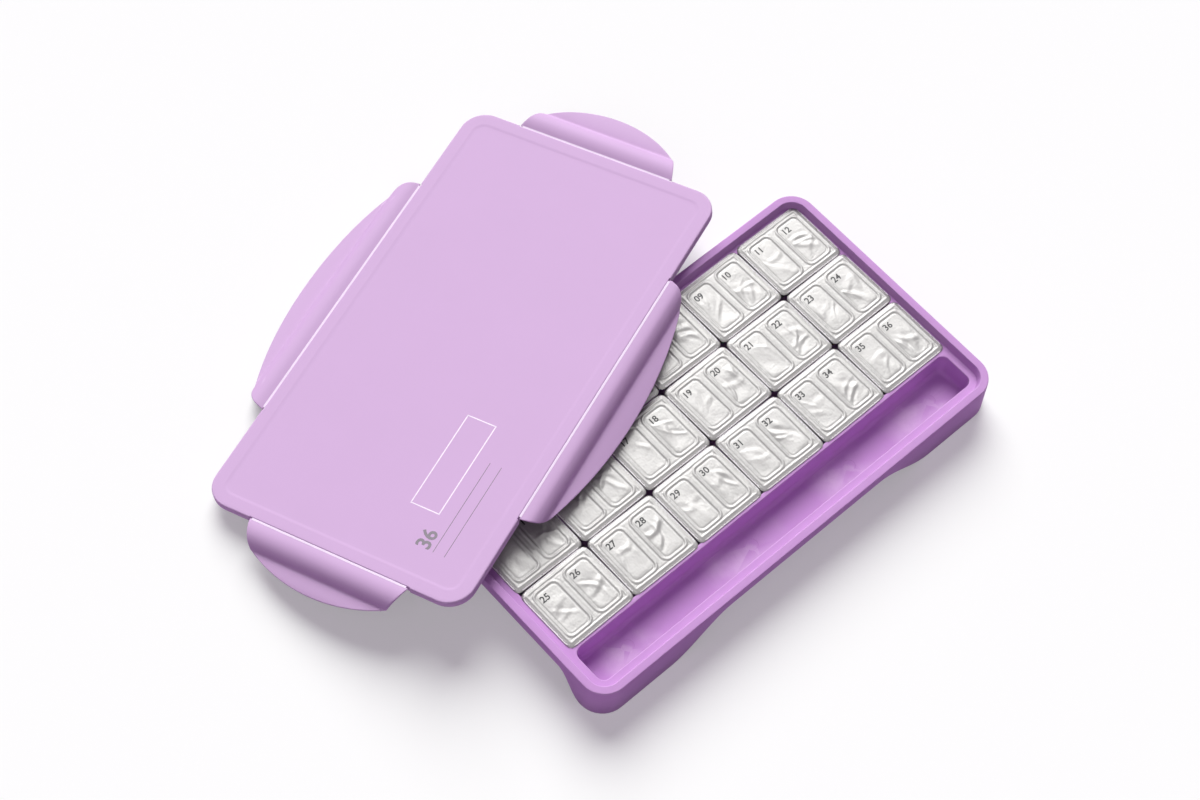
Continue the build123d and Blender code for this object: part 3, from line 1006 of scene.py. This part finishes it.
def make_foil(row, column, body):
    """The foil sealed over both cells, wrapped down round the flange's edge."""
    seed = row * 6 + column
    folds = [cell_folds(seed, 0), cell_folds(seed, 1)]
    steps_x, steps_y = 104, 92
    bm = bmesh.new()
    grid = []
    for j in range(steps_y + 1):
        line = []
        for i in range(steps_x + 1):
            x, y = square_to_pack(2 * i / steps_x - 1, 2 * j / steps_y - 1)
            ragged = 1 + 0.0045 * noise.noise(Vector((x * 0.8 + seed, y * 0.8, 7.0)))
            line.append(bm.verts.new((x * ragged, y * ragged, foil_height(x, y, seed, folds))))
        grid.append(line)
    for j in range(steps_y):
        for i in range(steps_x):
            bm.faces.new((grid[j][i], grid[j][i + 1], grid[j + 1][i + 1], grid[j + 1][i]))
    name = f"seal_foil_r{row}c{column}"
    piece = finish_piece(name, bm, foil_silver, body,
                         pack_place(row, column), sharp=180.0)
    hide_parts(f"foil_r{row}c{column}")
    # a plain running number on each cell
    bm = bmesh.new()
    for index, shift in enumerate((-cell_shift, cell_shift)):
        number = ((3 - row) * 6 + column - 1) * 2 + index + 1
        flat = lettering(f"{number:02d}", 6.0)
        flat.transform(Matrix.Translation((shift - 6.2, 9.2, 0)))
        bm.from_mesh(flat)
    for vert in bm.verts:
        vert.co.z = foil_height(vert.co.x, vert.co.y, seed, folds) + 0.05
    name = f"cell_numbers_r{row}c{column}"
    finish_piece(name, bm, foil_ink, body, pack_place(row, column))


def square_to_pack(u, v):
    """A point of the square grid, drawn in at the corners to the flange's rounded outline."""
    half_x, half_y = pack_long / 2 + foil_lap, pack_wide / 2 + foil_lap
    radius = foil_corner
    x, y = u * half_x, v * half_y
    reach = max(abs(u), abs(v))
    if reach == 0:
        return x, y
    edge_x, edge_y = u / reach * half_x, v / reach * half_y
    dx, dy = abs(edge_x) - half_x + radius, abs(edge_y) - half_y + radius
    if dx > 0 and dy > 0:
        over = math.hypot(dx, dy)
        scale = radius / over
        target_x = math.copysign(half_x - radius + dx * scale, edge_x)
        target_y = math.copysign(half_y - radius + dy * scale, edge_y)
        pull = smooth_step((reach - 0.55) / 0.45)
        x += (target_x - edge_x) * pull * reach
        y += (target_y - edge_y) * pull * reach
    return x, y


def make_cup(row, column, body):
    """The twin cup: a thin flange and two drafted cells with rounded floors."""
    low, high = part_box(f"cup_r{row}c{column}")
    top = (high.z - foil_high.z) / MM
    bottom = (low.z - foil_high.z) / MM
    draft = math.tan(math.radians(3.0))
    flange = 0.6
    bm = bmesh.new()
    rim = [[(x, y, z) for x, y, _, _ in rounded_loop(
        pack_long / 2 - inset, pack_wide / 2 - inset, pack_round - inset, 8)]
        for inset, z in ((0.25, top), (0.0, top - 0.15), (0.0, top - 0.45), (0.2, top - flange))]
    rings = skin_loops(bm, rim)
    cells = []
    for shift in (-cell_shift, cell_shift):
        depth = top - flange - bottom
        loops = []
        for grow, drop in ((1.0, 0.0), (0.6, -0.1), (0.5, -0.5), (0.5 - draft * (depth - 3),
                           3 - depth), (0.1 - draft * depth, 1.1 - depth),
                           (-0.7 - draft * depth, 0.25 - depth), (-2.0 - draft * depth, -depth)):
            loops.append([(x, y, top - flange + drop) for x, y, _, _ in rounded_loop(
                cell_half_x + grow, cell_half_y + grow, max(cell_round + grow, 1.5), 8,
                middle=(shift, 0.0))])
        cell = skin_loops(bm, loops)
        bm.faces.new(cell[-1])
        cells.append(cell)
    under = edges_of(bm, rings[-1]) + edges_of(bm, cells[0][0]) + edges_of(bm, cells[1][0])
    bmesh.ops.triangle_fill(bm, use_beauty=True, use_dissolve=False, edges=under)
    bm.faces.new(rings[0])
    name = f"twin_cup_r{row}c{column}"
    piece = finish_piece(name, bm, cup_white, body,
                         pack_place(row, column), sharp=45.0)
    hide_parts(f"cup_r{row}c{column}")


def make_packs():
    """Three rows of six. A pack with no body of its own lies in the tray's."""
    for row in range(1, 4):
        for column in range(1, 7):
            body = f"pack_r{row}c{column}"
            if body not in frame["bodies"]:
                body = "tray"
            make_foil(row, column, body)
            make_cup(row, column, body)


# ---- Build everything ----
make_tray()
make_lid()
make_seal()
make_print()
for flap_side in flap_forms:
    make_flap(flap_side)
make_packs()
for node_name, node in frame["nodes"].items():
    if node_name.startswith("gouache"):
        node.data.materials.clear()
        node.data.materials.append(gouache)

# ---- Floor and light ----
scene.view_settings.view_transform = "Standard"


def make_floor():
    """A wide white floor, with a little glow of its own towards the camera and in mirrors."""
    bm = bmesh.new()
    size = 6.0
    glow_share = 0.28
    corners = [(-size, -size, 0), (size, -size, 0), (size, size, 0), (-size, size, 0)]
    bm.faces.new([bm.verts.new(point) for point in corners])
    mesh = to_mesh(bm, "floor")
    material, tree, shader = new_material("white studio floor")
    seen = add(tree, "ShaderNodeLightPath")
    paper = mix_colour(tree, seen.outputs["Is Camera Ray"], (0.58, 0.43, 0.62, 1),
                       (0.965, 1.0, 0.95, 1))
    tree.links.new(paper, shader.inputs["Base Color"])
    shader.inputs["Roughness"].default_value = 0.9
    shader.inputs["Specular IOR Level"].default_value = 0.0
    glow = add(tree, "ShaderNodeEmission", values={"Color": (1, 1, 1, 1), "Strength": 1.0})
    blend = add(tree, "ShaderNodeMixShader")
    share = maths(tree, "MULTIPLY", shown_rays(tree, seen), glow_share)
    tree.links.new(share, blend.inputs["Fac"])
    tree.links.new(shader.outputs["BSDF"], blend.inputs[1])
    tree.links.new(glow.outputs["Emission"], blend.inputs[2])
    output = tree.nodes["Material Output"]
    tree.links.new(blend.outputs["Shader"], output.inputs["Surface"])
    mesh.materials.append(material)
    floor = bpy.data.objects.new("floor", mesh)
    floor.location.z = -0.0001
    scene.collection.objects.link(floor)


def shown_rays(tree, seen):
    """1 for camera, glossy and transmission rays, which are to see a white room."""
    some = maths(tree, "MAXIMUM", seen.outputs["Is Camera Ray"], seen.outputs["Is Glossy Ray"])
    return maths(tree, "MAXIMUM", some, seen.outputs["Is Transmission Ray"])


def soft_lamp(name, towards, spread, strength):
    """A distant studio softbox: where it stands from the object, how wide it looks."""
    data = bpy.data.lights.new(name, "SUN")
    data.angle = math.radians(spread)
    data.energy = strength
    lamp = bpy.data.objects.new(name, data)
    lamp.rotation_euler = Vector(towards).to_track_quat("Z", "Y").to_euler()
    scene.collection.objects.link(lamp)


def make_world():
    """A white room to look at, and a weak lilac light from all round for the shadows."""
    world = bpy.data.worlds.new("studio")
    scene.world = world
    world.use_nodes = True
    tree = world.node_tree
    background = tree.nodes["Background"]
    background.inputs["Strength"].default_value = 1.0
    seen = add(tree, "ShaderNodeLightPath")
    room = mix_colour(tree, shown_rays(tree, seen), (0.105, 0.055, 0.125, 1), (1, 1, 1, 1))
    tree.links.new(room, background.inputs["Color"])


make_floor()
make_world()
soft_lamp("key softbox", (0.55, 0.80, 0.85), 46.0, 4.0)
soft_lamp("fill softbox", (-0.7, -0.5, 0.8), 70.0, 0.38)
